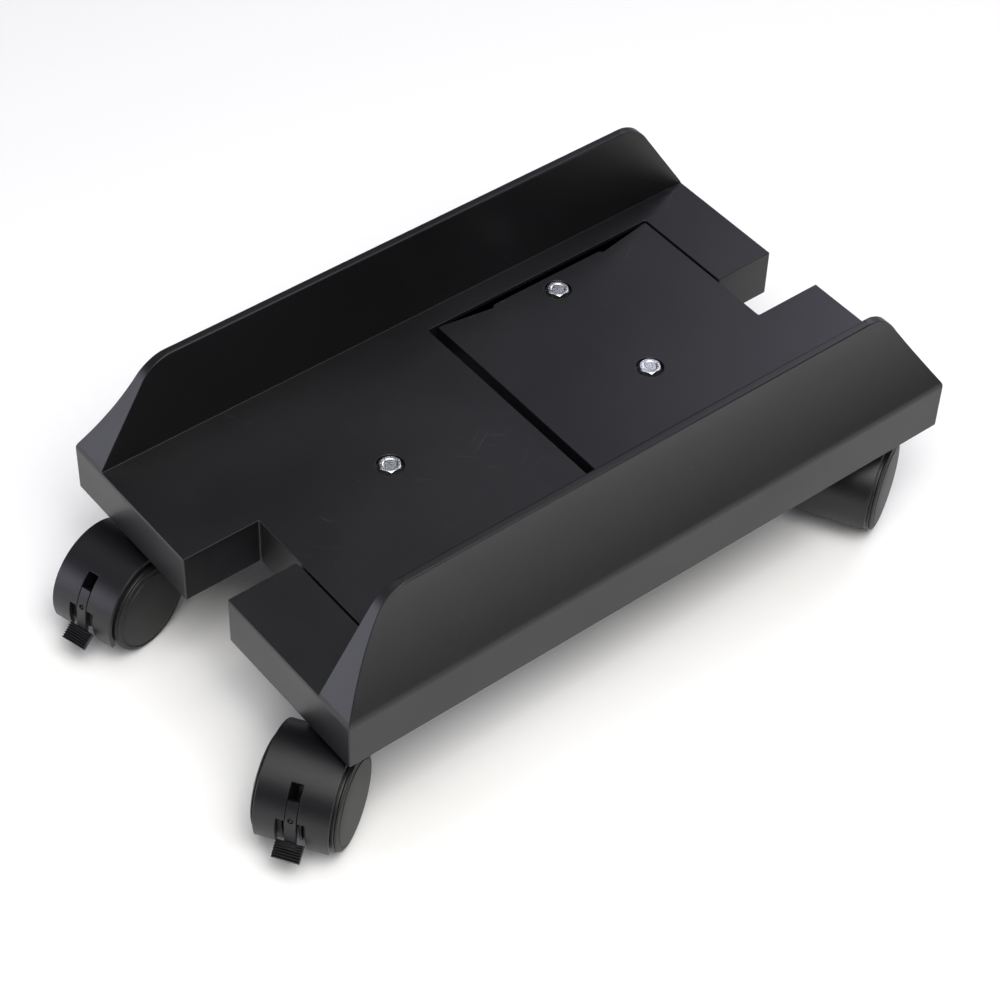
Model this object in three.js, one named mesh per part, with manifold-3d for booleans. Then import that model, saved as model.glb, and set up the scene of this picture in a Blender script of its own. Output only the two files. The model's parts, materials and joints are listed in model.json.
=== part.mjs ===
// A rolling stand for a desktop computer tower, in millimetres, +Z up.
//
// Two moulded halves slide into each other across the width. Each half is a tray with a side
// wall, a tongue that lies in the other half's recess, and a slotted runner that slides under the
// other half's tongue. Tray, wall and runner are drawn as three bodies with a hair's gap. Four
// bolts clamp the tongues onto the runners. Each half stands on two twin-wheel casters, and the
// two front casters have a foot brake.
//
// Working frame: X across the width, Y from the front end (-Y) to the rear end (+Y), z = 0 on the
// deck. Each half is drawn in its own frame with its wall on the -X side. The right half is then
// given a half turn about Z. The last lines move the whole stand onto the floor.
import * as THREE from 'three';
import { mergeVertices } from 'three/addons/utils/BufferGeometryUtils.js';
import Module from 'manifold-3d';

// ---- driving dimensions -------------------------------------------------------------------
const GAP = 0.3; // running and mounting clearance
const PAST = 1; // how far a cutter runs past the surface that it cuts, or a join past the seam
const SKIN = 3; // wall thickness of the moulded halves
const TRAY_DEPTH = 30.5; // deck surface to the bottom edge of the skirts
const HALF_WIDTH = 121.4; // plan centre to the outer face of a side wall
const CORNER_R = 1; // vertical corners of the skirts
const RIB = 2; // thickness of the stiffening ribs
const DEEP_RIB = -27; // lowest edge of the partition and of the webs beside the stem sockets
const SHALLOW_RIB = -9; // lowest edge of the other ribs
const CROSS_RIBS = [-150, -90, -30, 30, 90, 150]; // across the channel under the side wall

const STROKE = 55; // how far the two halves pull apart
const TONGUE_TIP = 80.5; // plan centre to the end of a tongue, in the half's own frame
const RECESS_WALL = -82; // the face that the other half's tongue closes against
const TIP_LIP = 2; // depth and thickness of the lip under the end of a tongue

const RUNNER_TOP = -5.4;
const RUNNER_THICK = 3.4;
const RUNNER_TIP = 80;
const RUNNER_SIDE_GAP = 0.8; // runner edge to the skirt beside it
const RUNNER_EDGE_RIB = { thick: 2.5, floor: -14 };

const WALL = {
  height: 57.5,
  innerBase: 95.7,
  innerTop: 97.9,
  outerTop: 103,
  flarePower: 1.7, // how the concave outer face sweeps out to the skirt
  endSlope: THREE.MathUtils.degToRad(57),
  endRadius: 23.25, // arc from the sloping end to the level top
  shell: 2.8,
  hollowTop: 35,
};

// Ends and steps of each half along Y, and its two bolts, in the half's own frame.
const LEFT_HALF = {
  near: -203.2,
  far: 200.3,
  tongueOuter: -156.2,
  tongueInner: 1.9,
  recessEnd: 160.7,
  nearStripEnd: -18.3,
  farStripEnd: -17.4,
  bolts: [[-10.2, -77.7], [69.4, -77.1]],
};
const RIGHT_HALF = {
  near: -203.2,
  far: 200.3,
  tongueOuter: -159.2,
  tongueInner: -7.8,
  recessEnd: 157.7,
  nearStripEnd: -18.3,
  farStripEnd: -17.4,
  bolts: [[-14.3, -82.1], [65.3, -81.5]],
};

const BOLT = {
  shankR: 3, headFlats: 11.4, headTop: 1, headBottom: -2.7, end: -18.5, slotR: 3.3, crown: 1.2, tip: 0.7,
};
const POCKET = { r: 7.75, depth: 3, bossR: 10.5, bossBottom: -5 };
const WASHER = { r: 9, thick: 1.5 };
const NUT = { flats: 10, thick: 5 };

const PIVOT = { x: 83.5, y: 186.7 }; // caster stems, from the plan centre
const SOCKET = { r: 11, boreR: 6, top: -5 };
const STEM = {
  r: 5.3, top: -8, nose: 1.5, bottom: -44, collarR: 7.5, collarTop: -30.8, collarBottom: -32.3,
};
const GRIP_RING = { outer: 5.7, inner: 4.7, top: -12, bottom: -17, grooveR: 4.2, split: 1.6 };

const TRAIL = 24; // axle behind the stem axis
const WHEEL_R = 26.8;
const AXLE_Z = -68.6;
const AXLE = { r: 3, halfLength: 13, boreR: 3.3, chamfer: 0.5 };
const HOOD = { outer: 31.6, inner: 29.2, halfWidth: 20.2, rise: 0.4, forward: 1.2 };
const HOOD_FROM = THREE.MathUtils.degToRad(-18); // lower edge on the trailing side
const HOOD_TO = THREE.MathUtils.degToRad(186); // edge beside the stem boss
const WEB_HALF = 4.8; // the plate between the wheels that carries the axle
const HUB_R = 8;
// The web's lower lobe round the axle.
const HUB_ARC = { from: THREE.MathUtils.degToRad(30), step: THREE.MathUtils.degToRad(40) };
const STEM_BOSS = { r: 9.5, top: -32.6, bottom: -60 };
const WHEEL = { inner: 5.5, outer: 21.7, faceRecess: 8, rimInner: 22, edge: 0.8 };
const CAP = {
  base: 22, top: 24.8, r: 26.3, power: 2.5, plugR: 20.9, plugDepth: 5,
  rings: [1, 0.95, 0.8, 0.5], // where the dome's rings lie, as shares of its radius
};

const SWIVEL = { left_front: 15.8, right_front: 33.7, right_rear: 29.5, left_rear: 25 }; // degrees

// The brake lever, in polar terms about the hood's centre: angles up from the trailing side.
const LEVER = {
  halfWidth: 3,
  top: THREE.MathUtils.degToRad(37.5),
  bend: THREE.MathUtils.degToRad(15),
  outer: 31.6,
  inner: 28.1,
  pinR: 1.5,
  pinAt: { r: 25.5, angle: THREE.MathUtils.degToRad(27) },
  eyeR: 3.4,
  padHalf: 7.5,
  padFrom: [30.8, -4.9], // behind and above the axle
  padTo: [38.7, -10.5],
  padThick: 2.6,
  rootDepth: 3.4, // arm thickness where the pad starts
  neck: 4, // how far the arm reaches into the pad
  ridges: 7,
  ridgeHeight: 0.7,
};
const LEVER_SLOT = { half: 3.3, to: THREE.MathUtils.degToRad(54.5), floor: 14 };
const LEVER_BAY = { half: 8, to: THREE.MathUtils.degToRad(16) };
const CUTS_FROM = THREE.MathUtils.degToRad(-34); // below the hood's lower edge

const CURVE_STEPS = 3; // divisions of each curve in an outline
const ROUND = 20; // facets round a wheel
const SMALL_ROUND = 12; // facets round a pin or a screw
const CUT_STEPS = 6; // divisions of the brake's slot and bay
const ARM_STEPS = 5; // divisions of the brake lever's arm
const FLARE_STEPS = 8;
const HOOD_STEPS = 15;

// ---- materials ----------------------------------------------------------------------------
const makeMaterial = (color, roughness, metalness) =>
  new THREE.MeshStandardMaterial({ color, roughness, metalness });
const mouldedBlack = () => makeMaterial(0x242428, 0.45, 0);
const hoodBlack = () => makeMaterial(0x1d1d22, 0.4, 0);
const wheelBlack = () => makeMaterial(0x2a2a2c, 0.5, 0);
const zinc = () => makeMaterial(0xb9bec4, 0.35, 0.9);
const steel = () => makeMaterial(0x8d9196, 0.3, 1);

// ---- joining and cutting ------------------------------------------------------------------
const wasm = await Module();
wasm.setup();

function toSolid(geometry) {
  const bare = geometry.clone();
  bare.deleteAttribute('normal');
  bare.deleteAttribute('uv');
  const merged = mergeVertices(bare, 1e-4);
  const vertProperties = new Float32Array(merged.attributes.position.array);
  const triVerts = new Uint32Array(merged.index.array);
  return new wasm.Manifold(new wasm.Mesh({ numProp: 3, vertProperties, triVerts }));
}

function toGeometry(solid) {
  const { vertProperties, triVerts } = solid.getMesh();
  const geometry = new THREE.BufferGeometry();
  geometry.setAttribute('position', new THREE.BufferAttribute(vertProperties, 3));
  geometry.setIndex(new THREE.BufferAttribute(triVerts, 1));
  geometry.computeVertexNormals();
  return geometry;
}

const join = (...solids) => solids.reduce((sum, solid) => sum.add(solid));

// ---- basic solids -------------------------------------------------------------------------
function box(x0, x1, y0, y1, z0, z1) {
  const geometry = new THREE.BoxGeometry(x1 - x0, y1 - y0, z1 - z0);
  return toSolid(geometry.translate((x0 + x1) / 2, (y0 + y1) / 2, (z0 + z1) / 2));
}

// An upright prism on a plan outline.
function prism(shape, z0, z1) {
  const options = { depth: z1 - z0, bevelEnabled: false, curveSegments: CURVE_STEPS };
  return toSolid(new THREE.ExtrudeGeometry(shape, options).translate(0, 0, z0));
}

// A prism whose outline is drawn in the YZ plane, lying along X.
function prismAlongX(shape, x0, x1) {
  const options = { depth: x1 - x0, bevelEnabled: false, curveSegments: CURVE_STEPS };
  const geometry = new THREE.ExtrudeGeometry(shape, options).translate(0, 0, x0);
  const [x, y, z] = [new THREE.Vector3(1, 0, 0), new THREE.Vector3(0, 1, 0), new THREE.Vector3(0, 0, 1)];
  return toSolid(geometry.applyMatrix4(new THREE.Matrix4().makeBasis(y, z, x)));
}

// A prism whose outline is drawn in the XZ plane, lying along Y.
function prismAlongY(shape, y0, y1) {
  const options = { depth: y1 - y0, bevelEnabled: false };
  const geometry = new THREE.ExtrudeGeometry(shape, options).rotateX(Math.PI / 2);
  return toSolid(geometry.translate(0, y1, 0));
}

// A solid of revolution. Profile points are [radius, distance along the axis].
function turned(profile, facets) {
  const points = profile.map(([r, h]) => new THREE.Vector2(r, h));
  return new THREE.LatheGeometry(points, facets);
}
const turnedAlongZ = (profile, facets) => turned(profile, facets).rotateX(Math.PI / 2);
const turnedAlongX = (profile, facets) => turned(profile, facets).rotateZ(-Math.PI / 2);

function cylinderZ(x, y, r, z0, z1, facets = SMALL_ROUND) {
  const geometry = new THREE.CylinderGeometry(r, r, z1 - z0, facets).rotateX(Math.PI / 2);
  return toSolid(geometry.translate(x, y, (z0 + z1) / 2));
}

function cylinderX(y, z, r, halfLength, facets = SMALL_ROUND) {
  const geometry = new THREE.CylinderGeometry(r, r, 2 * halfLength, facets).rotateZ(Math.PI / 2);
  return toSolid(geometry.translate(0, y, z));
}

const polygon = points => new THREE.Shape(points.map(([x, y]) => new THREE.Vector2(x, y)));

// A closed outline through square corners, each corner rounded to a radius.
function roundedOutline(points, radius) {
  const shape = new THREE.Shape();
  const corner = index => new THREE.Vector2(...points[(index + points.length) % points.length]);
  points.forEach((_, index) => {
    const at = corner(index);
    const before = corner(index - 1).sub(at).setLength(radius).add(at);
    const after = corner(index + 1).sub(at).setLength(radius).add(at);
    const draw = index === 0 ? 'moveTo' : 'lineTo';
    shape[draw](before.x, before.y);
    shape.quadraticCurveTo(at.x, at.y, after.x, after.y);
  });
  shape.closePath();
  return shape;
}

function slotOutline(x0, x1, y, r) {
  const shape = new THREE.Shape();
  shape.absarc(x1, y, r, -Math.PI / 2, Math.PI / 2, false);
  shape.absarc(x0, y, r, Math.PI / 2, 1.5 * Math.PI, false);
  return shape;
}

// ---- the moulded halves -------------------------------------------------------------------

// Plan of a half: end strip, tongue, recess, end strip. The inset draws the inside of the skirts.
function planPoints(half, inset, tip) {
  const outer = -HALF_WIDTH + inset;
  return [
    [outer, half.near + inset],
    [half.nearStripEnd - inset, half.near + inset],
    [half.nearStripEnd - inset, half.tongueOuter + inset],
    [tip, half.tongueOuter + inset],
    [tip, half.tongueInner - inset],
    [RECESS_WALL - inset, half.tongueInner - inset],
    [RECESS_WALL - inset, half.recessEnd + inset],
    [half.farStripEnd - inset, half.recessEnd + inset],
    [half.farStripEnd - inset, half.far - inset],
    [outer, half.far - inset],
  ];
}

const wallOuter = z =>
  WALL.outerTop + (HALF_WIDTH - WALL.outerTop) * (1 - z / WALL.height) ** WALL.flarePower;
const wallInner = z => WALL.innerBase + (WALL.innerTop - WALL.innerBase) * (z / WALL.height);

// Cross-section of the side wall between two heights, drawn in XZ.
function wallSection(top, shell, steps) {
  const up = [];
  const down = [];
  for (let step = 0; step <= steps; step += 1) {
    const z = top * (step / steps);
    up.push([-(wallOuter(z) - shell), z]);
    down.unshift([-(wallInner(z) + shell), z]);
  }
  const foot = -SKIN - shell;
  return polygon([[up[0][0], foot], ...up, ...down, [down.at(-1)[0], foot]].reverse());
}

// Side view of the wall: sloping ends, arcs and a level top, drawn in YZ.
function wallSide(half) {
  const straight = WALL.height - WALL.endRadius * (1 - Math.cos(WALL.endSlope));
  const run = straight / Math.tan(WALL.endSlope);
  const reach = run + WALL.endRadius * Math.sin(WALL.endSlope);
  const arcFloor = WALL.height - WALL.endRadius;
  const shape = new THREE.Shape();
  shape.moveTo(half.far, -SKIN);
  shape.lineTo(half.far, 0);
  shape.lineTo(half.far - run, straight);
  shape.absarc(half.far - reach, arcFloor, WALL.endRadius, Math.PI / 2 - WALL.endSlope, Math.PI / 2, false);
  shape.absarc(half.near + reach, arcFloor, WALL.endRadius, Math.PI / 2, Math.PI / 2 + WALL.endSlope, false);
  shape.lineTo(half.near, 0);
  shape.lineTo(half.near, -SKIN);
  shape.closePath();
  return shape;
}

function wallHollow(half) {
  const inset = SKIN / Math.sin(WALL.endSlope);
  const lean = WALL.hollowTop / Math.tan(WALL.endSlope);
  const side = polygon([
    [half.near + inset, -2 * SKIN],
    [half.far - inset, -2 * SKIN],
    [half.far - inset, 0],
    [half.far - inset - lean, WALL.hollowTop],
    [half.near + inset + lean, WALL.hollowTop],
    [half.near + inset, 0],
  ]);
  const section = prismAlongY(wallSection(WALL.hollowTop, WALL.shell, FLARE_STEPS / 2), half.near, half.far);
  return prismAlongX(side, -HALF_WIDTH, -WALL.innerBase).intersect(section);
}

// Ribs under the deck. Their ends lie inside the skirts.
function stiffeningRibs(half) {
  const outer = -HALF_WIDTH + SKIN / 2;
  const bury = SKIN / 3;
  const ribs = [];
  const rib = (x0, x1, y0, y1, floor) => ribs.push(box(x0, x1, y0, y1, floor, -SKIN / 2));
  for (const across of CROSS_RIBS) {
    rib(outer, RECESS_WALL - SKIN / 2, across - RIB / 2, across + RIB / 2, SHALLOW_RIB);
  }
  const partition = RECESS_WALL - SKIN;
  rib(partition, partition + RIB, half.tongueOuter + bury, half.tongueInner - bury, DEEP_RIB);
  rib(partition, half.nearStripEnd, half.tongueOuter, half.tongueOuter + SKIN, DEEP_RIB);
  for (const [end, step] of [
    [half.near + bury, half.tongueOuter + bury],
    [half.recessEnd + bury, half.far - bury],
  ]) {
    rib(-PIVOT.x - RIB / 2, -PIVOT.x + RIB / 2, end, step, DEEP_RIB);
    rib(-PIVOT.x / 2 - RIB / 2, -PIVOT.x / 2 + RIB / 2, end, step, SHALLOW_RIB);
  }
  return join(...ribs);
}

// The slotted plate that slides under the other half's tongue.
function runner(half, other) {
  const y0 = -other.tongueInner + SKIN + RUNNER_SIDE_GAP;
  const y1 = -other.tongueOuter - SKIN - RUNNER_SIDE_GAP;
  const x0 = RECESS_WALL + GAP;
  const bottom = RUNNER_TOP - RUNNER_THICK;
  const plate = box(x0, RUNNER_TIP, y0, y1, bottom, RUNNER_TOP);
  const edge = RUNNER_EDGE_RIB;
  const rails = join(
    box(x0, RUNNER_TIP, y0, y0 + edge.thick, edge.floor, bottom + PAST),
    box(x0, RUNNER_TIP, y1 - edge.thick, y1, edge.floor, bottom + PAST),
  );
  const slots = other.bolts.map(([x, y]) =>
    prism(slotOutline(-x, -x + STROKE, -y, BOLT.slotR), bottom - PAST, RUNNER_TOP + PAST));
  return join(plate, rails).subtract(join(...slots));
}

const planPrism = (half, z0, z1) =>
  prism(roundedOutline(planPoints(half, 0, TONGUE_TIP), CORNER_R), z0, z1);

function sideWall(half) {
  return prismAlongY(wallSection(WALL.height, 0, FLARE_STEPS), half.near, half.far)
    .intersect(prismAlongX(wallSide(half), -HALF_WIDTH, -WALL.innerBase))
    .intersect(planPrism(half, GAP, WALL.height))
    .subtract(wallHollow(half));
}

function tray(half) {
  const underLip = prism(
    polygon(planPoints(half, SKIN, TONGUE_TIP - TIP_LIP)), -SKIN - TIP_LIP - PAST, -SKIN);
  const belowLip = prism(
    polygon(planPoints(half, SKIN, TONGUE_TIP + PAST)), -TRAY_DEPTH - PAST, -SKIN - TIP_LIP);
  const shell = planPrism(half, -TRAY_DEPTH, 0).subtract(join(underLip, belowLip, wallHollow(half)));

  const sockets = [-PIVOT.y, PIVOT.y].map(y =>
    cylinderZ(-PIVOT.x, y, SOCKET.r, -TRAY_DEPTH, -SKIN / 2, ROUND));
  const boltBosses = half.bolts.map(([x, y]) =>
    cylinderZ(x, y, POCKET.bossR, POCKET.bossBottom, -SKIN / 2, ROUND));
  const filled = join(shell, stiffeningRibs(half), ...sockets, ...boltBosses);

  const stemBores = [-PIVOT.y, PIVOT.y].map(y =>
    cylinderZ(-PIVOT.x, y, SOCKET.boreR, -TRAY_DEPTH - PAST, SOCKET.top));
  const boltBores = half.bolts.map(([x, y]) => cylinderZ(x, y, BOLT.slotR, POCKET.bossBottom - PAST, PAST));
  const pockets = half.bolts.map(([x, y]) => cylinderZ(x, y, POCKET.r, -POCKET.depth, PAST, ROUND));
  return filled.subtract(join(...stemBores, ...boltBores, ...pockets));
}

// ---- fasteners ----------------------------------------------------------------------------
const acrossCorners = flats => flats / Math.cos(Math.PI / 6);

function boltGeometry() {
  const head = cylinderZ(0, 0, acrossCorners(BOLT.headFlats) / 2, BOLT.headBottom, BOLT.headTop, 6);
  const rim = BOLT.headFlats / 2;
  const crown = toSolid(turnedAlongZ([
    [0, BOLT.headBottom - PAST],
    [rim + 2 * PAST, BOLT.headBottom - PAST],
    [rim + 2 * PAST, BOLT.headTop - BOLT.crown],
    [rim, BOLT.headTop],
    [0, BOLT.headTop],
  ], ROUND));
  const overlap = BOLT.headBottom + PAST;
  const shank = toSolid(turnedAlongZ([
    [0, BOLT.end],
    [BOLT.shankR - BOLT.tip, BOLT.end],
    [BOLT.shankR, BOLT.end + BOLT.tip],
    [BOLT.shankR, overlap],
    [0, overlap],
  ], SMALL_ROUND));
  return toGeometry(head.intersect(crown).add(shank));
}

const washerTop = RUNNER_TOP - RUNNER_THICK - GAP;
const nutTop = washerTop - WASHER.thick - GAP;

function washerGeometry() {
  const disc = cylinderZ(0, 0, WASHER.r, washerTop - WASHER.thick, washerTop, ROUND);
  const bore = cylinderZ(0, 0, BOLT.slotR, washerTop - WASHER.thick - PAST, washerTop + PAST);
  return toGeometry(disc.subtract(bore));
}

function nutGeometry() {
  const hexagon = cylinderZ(0, 0, acrossCorners(NUT.flats) / 2, nutTop - NUT.thick, nutTop, 6);
  const bore = cylinderZ(0, 0, BOLT.slotR, nutTop - NUT.thick - PAST, nutTop + PAST);
  return toGeometry(hexagon.subtract(bore));
}

// ---- casters ------------------------------------------------------------------------------
// Caster frame: the stem axis is x = y = 0, the axle lies along X at y = -TRAIL.
const hoodCentre = { y: -TRAIL + HOOD.forward, z: AXLE_Z + HOOD.rise };

// A point at a radius and an angle about the hood's centre, as [y, z].
const aboutHood = (r, angle) => [hoodCentre.y - r * Math.cos(angle), hoodCentre.z + r * Math.sin(angle)];

// A ring sector about the hood's centre, drawn in YZ.
function hoodSector(inner, outer, from, to, steps) {
  const points = [];
  for (let step = 0; step <= steps; step += 1) {
    points.push(aboutHood(outer, from + (to - from) * (step / steps)));
  }
  for (let step = steps; step >= 0; step -= 1) {
    points.push(aboutHood(inner, from + (to - from) * (step / steps)));
  }
  return polygon(points.reverse());
}

function webOutline(steps) {
  const middle = (HOOD.inner + HOOD.outer) / 2;
  const points = [];
  for (let step = 0; step <= steps; step += 1) {
    points.push(aboutHood(middle, HOOD_FROM + (HOOD_TO - HOOD_FROM) * (step / steps)));
  }
  for (let angle = HUB_ARC.from; angle < Math.PI; angle += HUB_ARC.step) {
    points.push([-TRAIL + HUB_R * Math.cos(angle), AXLE_Z - HUB_R * Math.sin(angle)]);
  }
  return polygon(points.reverse());
}

function casterBody(braked) {
  const hood = prismAlongX(
    hoodSector(HOOD.inner, HOOD.outer, HOOD_FROM, HOOD_TO, HOOD_STEPS), -HOOD.halfWidth, HOOD.halfWidth);
  const wheelRoom = cylinderX(hoodCentre.y, hoodCentre.z, HOOD.inner, HALF_WIDTH, 2 * ROUND);
  const boss = cylinderZ(0, 0, STEM_BOSS.r, STEM_BOSS.bottom, STEM_BOSS.top, ROUND).subtract(wheelRoom);
  const web = prismAlongX(webOutline(HOOD_STEPS), -WEB_HALF, WEB_HALF);
  const stemBore = cylinderZ(0, 0, STEM.r + GAP, STEM.bottom - GAP, STEM_BOSS.top + PAST);
  const axleBore = cylinderX(-TRAIL, AXLE_Z, AXLE.boreR, WEB_HALF + PAST);
  const body = join(hood, boss, web).subtract(join(stemBore, axleBore));
  if (!braked) return body;

  const far = HOOD.outer + 5 * PAST;
  const slot = prismAlongX(
    hoodSector(LEVER_SLOT.floor, far, CUTS_FROM, LEVER_SLOT.to, CUT_STEPS),
    -LEVER_SLOT.half, LEVER_SLOT.half);
  const bay = prismAlongX(
    hoodSector(HOOD.inner - PAST, far, CUTS_FROM, LEVER_BAY.to, CUT_STEPS), -LEVER_BAY.half, LEVER_BAY.half);
  const pinBore = cylinderX(...leverPinAt, LEVER.pinR + GAP, WEB_HALF + PAST);
  return body.subtract(join(slot, bay, pinBore));
}

const leverPinAt = aboutHood(LEVER.pinAt.r, LEVER.pinAt.angle);

// The lever's arm follows the hood, then leaves it for the ridged pad that a foot presses.
function leverSolid() {
  const arm = [];
  for (let step = 0; step <= ARM_STEPS; step += 1) {
    arm.push(aboutHood(LEVER.outer, LEVER.top + (LEVER.bend - LEVER.top) * (step / ARM_STEPS)));
  }
  const axlePoint = ([n, z]) => [-TRAIL - n, AXLE_Z + z];
  const padFrom = axlePoint(LEVER.padFrom);
  const padTo = axlePoint(LEVER.padTo);
  const along = new THREE.Vector2(padTo[0] - padFrom[0], padTo[1] - padFrom[1]);
  const length = along.length();
  along.normalize();
  const inward = new THREE.Vector2(-along.y, along.x);
  const offset = ([y, z], distance, depth) =>
    [y + along.x * distance + inward.x * depth, z + along.y * distance + inward.y * depth];
  const bend = [
    ...arm,
    padFrom,
    offset(padFrom, LEVER.neck, LEVER.padThick / 4),
    offset(padFrom, LEVER.neck, LEVER.padThick),
    offset(padFrom, 0, LEVER.rootDepth),
    aboutHood(LEVER.inner, LEVER.bend),
    aboutHood(LEVER.inner, (LEVER.bend + LEVER.top) / 2),
    aboutHood(LEVER.inner, LEVER.top),
  ];
  const armSolid = prismAlongX(polygon(bend.reverse()), -LEVER.halfWidth, LEVER.halfWidth);
  const eye = cylinderX(...leverPinAt, LEVER.eyeR, LEVER.halfWidth);

  const pad = [offset(padFrom, 0, 0)];
  const pitch = length / LEVER.ridges;
  for (let ridge = 0; ridge < LEVER.ridges; ridge += 1) {
    pad.push(offset(padFrom, pitch * (ridge + 0.5), -LEVER.ridgeHeight));
    pad.push(offset(padFrom, pitch * (ridge + 1), 0));
  }
  pad.push(offset(padFrom, length, LEVER.padThick), offset(padFrom, 0, LEVER.padThick));
  const padSolid = prismAlongX(polygon(pad.reverse()), -LEVER.padHalf, LEVER.padHalf);
  const bore = cylinderX(...leverPinAt, LEVER.pinR + GAP, LEVER.halfWidth + PAST);
  return join(armSolid, eye, padSolid).subtract(bore);
}

// A wheel from its inner face outwards. The outer face is dished to take the cap's plug.
function wheelGeometry() {
  const dish = WHEEL.outer - WHEEL.faceRecess;
  return turnedAlongX([
    [AXLE.boreR, WHEEL.inner],
    [WHEEL_R, WHEEL.inner],
    [WHEEL_R, WHEEL.outer - WHEEL.edge],
    [WHEEL_R - WHEEL.edge, WHEEL.outer],
    [WHEEL.rimInner, WHEEL.outer],
    [WHEEL.rimInner, dish],
    [AXLE.boreR, dish],
    [AXLE.boreR, WHEEL.inner],
  ], ROUND);
}

// The domed cap over a wheel's outer face, with the plug that snaps into the wheel.
function capGeometry() {
  const dome = [];
  const rise = CAP.top - CAP.base;
  for (const fraction of CAP.rings) {
    dome.push([CAP.r * fraction, CAP.base + rise * (1 - fraction ** CAP.power) ** (1 / CAP.power)]);
  }
  return turnedAlongX([
    [0, CAP.base - CAP.plugDepth],
    [CAP.plugR, CAP.base - CAP.plugDepth],
    [CAP.plugR, CAP.base],
    ...dome,
    [0, CAP.top],
  ], ROUND);
}

const axleGeometry = () => turnedAlongX([
  [0, -AXLE.halfLength],
  [AXLE.r - AXLE.chamfer, -AXLE.halfLength],
  [AXLE.r, -AXLE.halfLength + AXLE.chamfer],
  [AXLE.r, AXLE.halfLength - AXLE.chamfer],
  [AXLE.r - AXLE.chamfer, AXLE.halfLength],
  [0, AXLE.halfLength],
], SMALL_ROUND);

const stemGeometry = () => turnedAlongZ([
  [0, STEM.bottom],
  [STEM.r, STEM.bottom],
  [STEM.r, STEM.collarBottom],
  [STEM.collarR, STEM.collarBottom],
  [STEM.collarR, STEM.collarTop],
  [STEM.r, STEM.collarTop],
  [STEM.r, GRIP_RING.bottom - GAP],
  [GRIP_RING.grooveR, GRIP_RING.bottom - GAP],
  [GRIP_RING.grooveR, GRIP_RING.top + GAP],
  [STEM.r, GRIP_RING.top + GAP],
  [STEM.r, STEM.top - STEM.nose],
  [STEM.r - STEM.nose, STEM.top],
  [0, STEM.top],
], SMALL_ROUND);

function gripRingGeometry() {
  const ring = toSolid(turnedAlongZ([
    [GRIP_RING.inner, GRIP_RING.bottom],
    [GRIP_RING.outer, GRIP_RING.bottom],
    [GRIP_RING.outer, GRIP_RING.top],
    [GRIP_RING.inner, GRIP_RING.top],
    [GRIP_RING.inner, GRIP_RING.bottom],
  ], SMALL_ROUND));
  const split = box(
    -GRIP_RING.split / 2, GRIP_RING.split / 2, 0, GRIP_RING.outer + PAST,
    GRIP_RING.bottom - PAST, GRIP_RING.top + PAST);
  return toGeometry(ring.subtract(split));
}

const leverPinGeometry = () =>
  new THREE.CylinderGeometry(LEVER.pinR, LEVER.pinR, 2 * WEB_HALF, SMALL_ROUND).rotateZ(Math.PI / 2);

// ---- assembly -----------------------------------------------------------------------------
function addMesh(group, name, geometry, material, position = [0, 0, 0]) {
  const mesh = new THREE.Mesh(geometry, material);
  mesh.name = name;
  mesh.position.set(...position);
  group.add(mesh);
  return mesh;
}

function buildHalf(side, half, other) {
  const group = new THREE.Group();
  addMesh(group, `${side}_tray`, toGeometry(tray(half)), mouldedBlack());
  addMesh(group, `${side}_side_wall`, toGeometry(sideWall(half)), mouldedBlack());
  addMesh(group, `${side}_runner`, toGeometry(runner(half, other)), mouldedBlack());
  half.bolts.forEach(([x, y], index) => {
    const number = index + 1;
    addMesh(group, `${side}_bolt_${number}`, boltGeometry(), zinc(), [x, y, 0]);
    addMesh(group, `${side}_washer_${number}`, washerGeometry(), zinc(), [x, y, 0]);
    addMesh(group, `${side}_nut_${number}`, nutGeometry(), zinc(), [x, y, 0]);
  });
  return group;
}

function buildCaster(place, braked) {
  const turning = new THREE.Group();
  const part = (name, geometry, material, position) =>
    addMesh(turning, `${place}_${name}`, geometry, material, position);
  part('caster_body', toGeometry(casterBody(braked)), hoodBlack());
  part('caster_stem', stemGeometry(), steel());
  part('caster_axle', axleGeometry(), steel(), [0, -TRAIL, AXLE_Z]);
  for (const [side, turn] of [['inner', Math.PI], ['outer', 0]]) {
    const wheel = part(`wheel_${side}`, wheelGeometry(), wheelBlack(), [0, -TRAIL, AXLE_Z]);
    const cap = part(`wheel_cap_${side}`, capGeometry(), wheelBlack(), [0, -TRAIL, AXLE_Z]);
    wheel.rotation.z = turn;
    cap.rotation.z = turn;
  }
  if (braked) {
    part('brake_lever', toGeometry(leverSolid()), hoodBlack());
    part('brake_pin', leverPinGeometry(), steel(), [0, ...leverPinAt]);
  }
  turning.rotation.z = THREE.MathUtils.degToRad(SWIVEL[place]);

  const [side, end] = place.split('_');
  const caster = new THREE.Group();
  addMesh(caster, `${place}_grip_ring`, gripRingGeometry(), steel());
  caster.add(turning);
  caster.position.set(side === 'left' ? -PIVOT.x : PIVOT.x, end === 'front' ? -PIVOT.y : PIVOT.y, 0);
  return caster;
}

const stand = new THREE.Group();
const rightHalf = buildHalf('right', RIGHT_HALF, LEFT_HALF);
rightHalf.rotation.z = Math.PI;
stand.add(buildHalf('left', LEFT_HALF, RIGHT_HALF), rightHalf);
for (const place of Object.keys(SWIVEL)) {
  stand.add(buildCaster(place, place.endsWith('front')));
}

// Origin on the floor, under the middle of the stand's outer box.
const bounds = new THREE.Box3().setFromObject(stand, true);
const middle = bounds.getCenter(new THREE.Vector3());
stand.position.set(-middle.x, -middle.y, -bounds.min.z);

const cpuHolder = new THREE.Group();
cpuHolder.add(stand);
export default cpuHolder;
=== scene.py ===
"""Looks of the rolling tower stand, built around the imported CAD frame.

Shapes are drawn in millimetres in the frame of the part that they belong to, turned into
metres, and set in place from the frame's boxes and joints.
"""
import json
import math

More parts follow.
